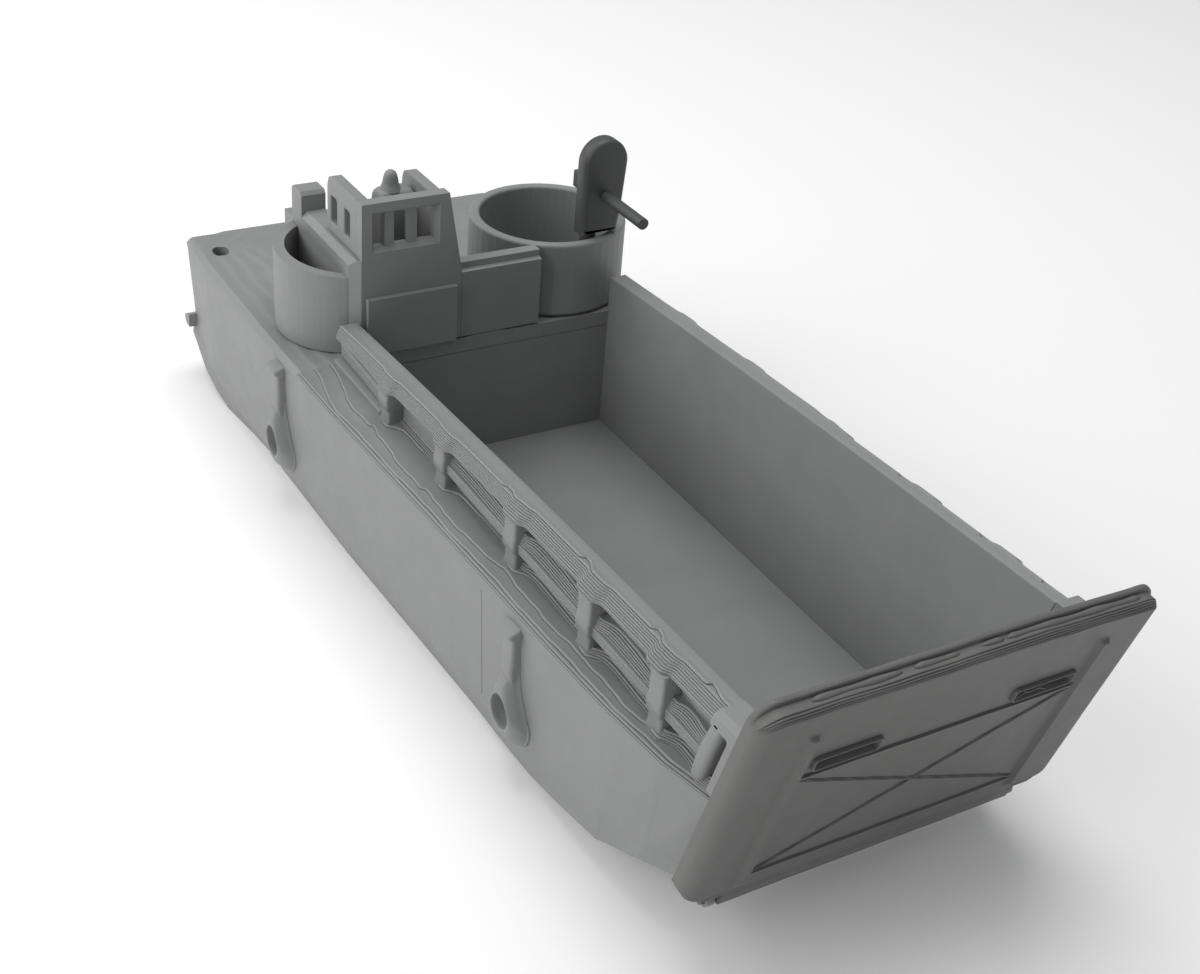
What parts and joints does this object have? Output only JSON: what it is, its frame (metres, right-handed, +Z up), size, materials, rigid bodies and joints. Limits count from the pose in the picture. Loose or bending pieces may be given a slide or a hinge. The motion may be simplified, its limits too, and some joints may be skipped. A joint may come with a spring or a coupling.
{
  "type": "model military landing craft",
  "caption": "Small grey printed model of a flat-bottomed landing craft with an open load well, a hinged bow ramp, a steering shelter, gun tubs and hung ring fenders.",
  "frame": {"origin": "on the flat bottom, at the middle of the model's length and width", "axes": "+X to the bow, +Y to port, +Z up"},
  "size_m": [0.0924, 0.038, 0.03],
  "materials": {
    "hull": "matte",
    "ramp": "matte",
    "fittings": "matte",
    "gun": "matte"
  },
  "bodies": {
    "hull": {"aft_deck": "hull", "bow_frame_port": "hull", "bow_frame_starboard": "hull", "bow_strut_port": "hull", "bow_strut_starboard": "hull", "coaming_cap_port": "hull", "coaming_cap_starboard": "hull", "coaming_wall_port": "hull", "coaming_wall_starboard": "hull", "fender_port_aft": "fittings", "fender_port_bow": "fittings", "fender_starboard_aft": "fittings", "fender_starboard_bow": "fittings", "hull_bottom": "hull", "hull_side_port": "hull", "hull_side_starboard": "hull", "hull_stern": "hull", "post_port_1": "hull", "post_port_2": "hull", "post_port_3": "hull", "post_port_4": "hull", "post_port_5": "hull", "post_starboard_1": "hull", "post_starboard_2": "hull", "post_starboard_3": "hull", "post_starboard_4": "hull", "post_starboard_5": "hull", "rail_port_2": "hull", "rail_port_3": "hull", "rail_port_4": "hull", "rail_port_5": "hull", "rail_starboard_2": "hull", "rail_starboard_3": "hull", "rail_starboard_4": "hull", "rail_starboard_5": "hull", "shelter_base": "hull", "shelter_front": "hull", "shelter_port": "hull", "shelter_starboard": "hull", "side_deck_port": "hull", "side_deck_starboard": "hull", "side_locker_port": "hull", "side_locker_starboard": "hull", "steering_console": "hull", "tub_port": "hull", "tub_starboard": "hull", "well_bulkhead": "hull"},
    "ramp": {"ramp_panel": "ramp", "ramp_braces": "ramp", "ramp_cross_high": "ramp", "ramp_cross_low": "ramp", "ramp_hinge_pin": "ramp", "ramp_rib_port": "ramp", "ramp_rib_starboard": "ramp", "ramp_slot_frame_port": "ramp", "ramp_slot_frame_starboard": "ramp"},
    "gun": {"gun_pintle": "gun", "gun_receiver": "gun", "gun_shield": "gun", "gun_barrel": "gun"}
  },
  "joints": [
    {"name": "ramp_hinge", "type": "hinge", "parent": "hull", "child": "ramp", "pos_m": [0.03863, 0, 0.00392], "axis": [0, 1, 0], "range_deg": [0, 75]},
    {"name": "gun_pintle_swivel", "type": "hinge", "parent": "hull", "child": "gun", "pos_m": [-0.0212, 0.0114, 0.015], "axis": [0, 0, 1], "range_deg": [-40, 40]}
  ]
}
